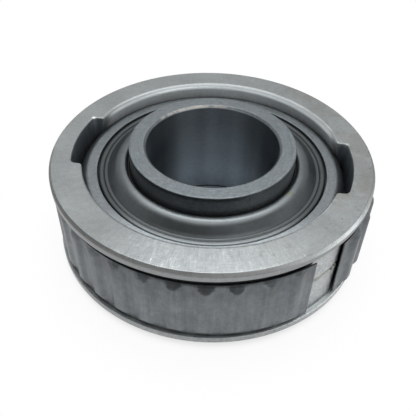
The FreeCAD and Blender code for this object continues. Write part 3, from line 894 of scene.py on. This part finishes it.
# The shields' finish: painted shade on the cone, more at the front, and on the hem, which is duller and
# lifted by painted light at the front, where the bead has a painted highlight. The sides have a little
# painted shade.
# A spot of old grease lies beside the sleeve, at the front right.
def shieldDress(bench, sizes):
    (x, y), radius = bench.at[:2], bench.at[3]
    front = 1 - y.ramp(-28, -18)
    hem = radius.ramp(sizes["hemEdge"] - 0.4, sizes["hemEdge"] + 0.4)
    risen = radius.ramp(sizes["hemFrom"], sizes["hemTo"])
    bead = radius.near(sizes["beadCrest"], 1)
    cone = radius.ramp(sizes["coneFrom"], sizes["coneFrom"] + 0.6)
    cone = cone * (1 - radius.ramp(sizes["coneTo"] - 0.8, sizes["coneTo"]))
    cone = cone * (1 - abs(x).ramp(9, 19) * 0.8)
    # painted shade on the hem and the cone, painted light on the hem at the front and a painted highlight on
    # the bead
    bench.level *= 1 - hem * (1 - sizes["hemLevel"]) * (1 - front * risen)
    bench.level *= 1 + risen * front * sizes["hemShine"] + bead * front * sizes["beadShine"]
    bench.level *= 1 - cone * (sizes["coneDark"] + front * sizes["frontDark"])
    # painted shade at the sides
    bench.level *= 1 - abs(x).ramp(16, 26) * sizes["sideDark"]
    bench.rough += hem * 0.12
    reach = sizes["greaseReach"]
    spot = x.near(sizes["greaseX"], reach) * y.near(sizes["greaseY"], reach)
    clouds = bench.cloud(0.8, 3.0).ramp(0.3, 0.6)
    return {"grease": spot * clouds}


shieldSteel = steelMaterial("shieldSteel", {
    **plainSteel, "level": 0.2, "tint": (0.935, 1.0, 1.03), "rough": 0.36, "metallic": 1.0,
    "strokeTone": 0.08, "strokeDepth": 0.1, "ringTone": 0.05, "ringDepth": 0.15, "grainTone": 0.1,
    "grainDepth": 0.1, "patchTone": 0.25, "bump": 0.002,
}, shieldDress, shieldSizes)


# The closed outline of a sheet that follows a path, half its thickness to each side of it.
def sheetOutline(path, half):
    ahead = np.diff(path, axis=0)
    ahead /= np.linalg.norm(ahead, axis=1)[:, None]
    after = np.concatenate([ahead, ahead[-1:]])
    tangent = np.concatenate([ahead[:1], ahead]) + after
    tangent /= np.linalg.norm(tangent, axis=1)[:, None]
    stretch = 1 / np.einsum("ij,ij->i", tangent, after)
    side = np.column_stack([-tangent[:, 1], tangent[:, 0]]) * (half * stretch)[:, None]
    return np.concatenate([path + side, (path - side)[::-1]])


# The upper piece as its outline says and the lower one mirrored, both carried by the outer race.
def addPair(name, outline, columns, slot, material, cover):
    turnedPiece(name + "Upper", outline, columns, "race", slot, material, cover + "_upper")
    turnedPiece(name + "Lower", outline * [1, -1], columns, "race", slot, material, cover + "_lower")


# The pressed sheet has one thickness along its path.
path = roundedOutline(shieldSizes["path"], closed=False, hold=0.05, turn=9)
pressed = sheetOutline(path, shieldSizes["sheet"] / 2)
addPair("shield", pressed, shieldSizes["columns"], "shield_steel", shieldSteel, "shield")

# The rubber under the bead holds the collar between its two ribs and thins to an edge on the sleeve.
lipSizes = {
    # radius, height, rounding
    "corners": [
        (21.98, 8.55, 0.05), (21.98, 8.9, 0.1), (22.23, 9.3, 0.1), (22.23, 9.55, 0.05), (22.58, 9.68, 0.05),
        (22.58, 9.28, 0.03), (23.22, 9.28, 0.03), (23.22, 9.95, 0.05), (24.2, 10.3, 0.1), (24.7, 9.9, 0.1),
        (24.7, 9.3, 0.1), (22.9, 8.9, 0.1),
    ],
    "columns": 300, "black": (0.012, 0.012, 0.013), "dusty": (0.03, 0.03, 0.031), "rough": 0.5,
    "grainRough": 0.2, "bump": 0.02,
}


# Black rubber with a faint mould grain and dusty patches.
def rubberMaterial(look):
    material = bpy.data.materials.new("sealRubber")
    bench = Bench(material)
    dust = bench.cloud(0.4, 4.0).ramp(0.4, 0.8)
    grain = bench.cloud(6.0)
    bench.output(bench.node("ShaderNodeBsdfPrincipled", sockets={
        "Base Color": bench.mixColour(dust, look["black"], look["dusty"]),
        "Roughness": grain * look["grainRough"] + look["rough"],
        "Normal": bench.bump(grain, look["bump"]),
    }))
    return material


sealRubber = rubberMaterial(lipSizes)
moulded = roundedOutline(lipSizes["corners"])
addPair("sealLip", moulded, lipSizes["columns"], "seal_rubber", sealRubber, "seal_lip")
print("races, shields and lips made")


# Balls and cage keep the frame's own shapes

ballSteel = steelMaterial("ballSteel", {
    **plainSteel, "level": 0.62, "rough": 0.16, "metallic": 1.0, "strokeTone": 0.0, "strokeDepth": 0.0,
    "ringDepth": 0.0, "ringTone": 0.0, "patchTone": 0.1,
})
cageLook = {**plainSteel, "level": 0.38, "tint": (1.0, 0.99, 0.96), "rough": 0.38}
finishes = {"ball_": ballSteel, "cage_": steelMaterial("cageSteel", cageLook)}
for name, node in frame["nodes"].items():
    if name[:5] in finishes:
        for place in node.material_slots:
            place.material = finishes[name[:5]]
print("balls and cage finished")


# Floor, world and camera

stageSizes = {
    "floor": sleeveBottom, "reach": 3000.0,
    "shadeFrom": 16.0, "shadeTo": 32.0,
    "whiteFrom": 36.0, "whiteTo": 44.0, "whiteFar": 65.0, "whiteShare": 0.92,
    "shade": (0.25, 0.27, 0.3), "dark": (0.86, 0.86, 0.86), "light": (0.9, 0.9, 0.9),
}


# A pale floor with painted shade under the part. Away from it the camera and reflections see plain white.
def makeFloor(sizes):
    mesh = bpy.data.meshes.new("floor")
    reach, z = sizes["reach"] * mm, sizes["floor"] * mm
    corners = [(-reach, -reach, z), (reach, -reach, z), (reach, reach, z), (-reach, reach, z)]
    mesh.from_pydata(corners, [], [(0, 1, 2, 3)])
    material = bpy.data.materials.new("floorWhite")
    bench = Bench(material)
    radius = bench.at[3]
    colour = bench.mixColour(bench.cloud(0.02), sizes["dark"], sizes["light"])
    outside = radius.ramp(sizes["shadeFrom"], sizes["shadeTo"])
    # painted shade under the part
    colour = bench.mixColour(outside, sizes["shade"], colour)
    matte = bench.node("ShaderNodeBsdfDiffuse", sockets={"Color": colour})
    white = bench.node("ShaderNodeEmission")
    path = bench.node("ShaderNodeLightPath")
    rayKinds = ("Is Camera Ray", "Is Glossy Ray", "Is Transmission Ray")
    camera, glossy, transmission = (Shade(bench, path.outputs[kind]) for kind in rayKinds)
    seen = (camera + glossy + transmission).clip()
    near = radius.ramp(sizes["whiteFrom"], sizes["whiteTo"]) * sizes["whiteShare"]
    share = seen * (near + radius.ramp(sizes["whiteTo"], sizes["whiteFar"]) * (1 - sizes["whiteShare"]))
    sockets = {0: share, 1: matte.outputs[0], 2: white.outputs[0]}
    bench.output(bench.node("ShaderNodeMixShader", sockets=sockets))
    mesh.materials.append(material)
    floor = bpy.data.objects.new("floor", mesh)
    bpy.context.scene.collection.objects.link(floor)


studio = {
    "tint": (0.97, 0.995, 1.0), "base": 0.2, "backLevel": 0.42, "backFrom": -0.1, "backTo": 0.4,
    "overLevel": 0.2, "overFrom": 0.8, "overTo": 0.97,
    "panels": [
        # azimuth, elevation, inner and outer half angle, level
        (90, 78, 8, 36, 3.6),
        (-55, 22, 8, 30, 2.2),
        (-130, 20, 8, 24, 1.0),
        (-12, 20, 6, 20, 0.6),
        (2, 8, 5, 14, 0.9),
    ],
}


# The studio as a function of direction: dark behind the camera, pale behind the part, brighter overhead, and
# soft round panels whose level falls off with the angle from their middle. The camera itself sees white.
def makeWorld(values):
    world = bpy.data.worlds.new("studio")
    bpy.context.scene.world = world
    bench = Bench(world, "Generated", 1)
    x, y, z = bench.at[:3]
    level = values["base"] + y.ramp(values["backFrom"], values["backTo"]) * values["backLevel"]
    level = level + z.ramp(values["overFrom"], values["overTo"]) * values["overLevel"]
    for azimuth, elevation, inner, outer, strength in values["panels"]:
        turn, rise = math.radians(azimuth), math.radians(elevation)
        cosine = x * (math.cos(rise) * math.cos(turn)) + y * (math.cos(rise) * math.sin(turn))
        cosine = cosine + z * math.sin(rise)
        ends = math.cos(math.radians(outer)), math.cos(math.radians(inner))
        level = level + cosine.ramp(*ends) * strength
    camera = Shade(bench, bench.node("ShaderNodeLightPath").outputs["Is Camera Ray"])
    level = level + camera * (1 - level)
    colour = bench.mixColour(camera, values["tint"], (1, 1, 1))
    sockets = {"Strength": level, "Color": colour}
    bench.output(bench.node("ShaderNodeBackground", sockets=sockets), "ShaderNodeOutputWorld")


cameraSizes = {
    "place": (0, -116.826, 100.893), "pitch": 0.7488, "turn": -0.0048, "roll": 0.0336,
    "lens": 47.49, "sensor": 36, "clipStart": 5, "clipEnd": 20000,
}


# The camera that the photograph's own circles give. Its pitch, turn and roll are in radians.
def makeCamera(sizes):
    pitch, turn, roll = sizes["pitch"], sizes["turn"], sizes["roll"]
    forward = Vector((0, math.cos(pitch), -math.sin(pitch)))
    upward = Vector((0, math.sin(pitch), math.cos(pitch)))
    right = Vector((1, 0, 0))
    ahead = forward * math.cos(turn) + right * math.sin(turn)
    aside = right * math.cos(turn) - forward * math.sin(turn)
    rolledAside = aside * math.cos(roll) + upward * math.sin(roll)
    rolledUp = upward * math.cos(roll) - aside * math.sin(roll)
    data = bpy.data.cameras.new("camera")
    data.sensor_width = sizes["sensor"]
    data.lens = sizes["lens"]
    data.clip_start = sizes["clipStart"] * mm
    data.clip_end = sizes["clipEnd"] * mm
    camera = bpy.data.objects.new("camera", data)
    basis = Matrix((rolledAside, rolledUp, -ahead)).transposed()
    camera.matrix_world = Matrix.Translation(Vector(sizes["place"]) * mm) @ basis.to_4x4()
    bpy.context.scene.collection.objects.link(camera)
    bpy.context.scene.camera = camera


makeFloor(stageSizes)
makeWorld(studio)
makeCamera(cameraSizes)
bpy.context.scene.view_settings.view_transform = "Standard"
print("stage made")
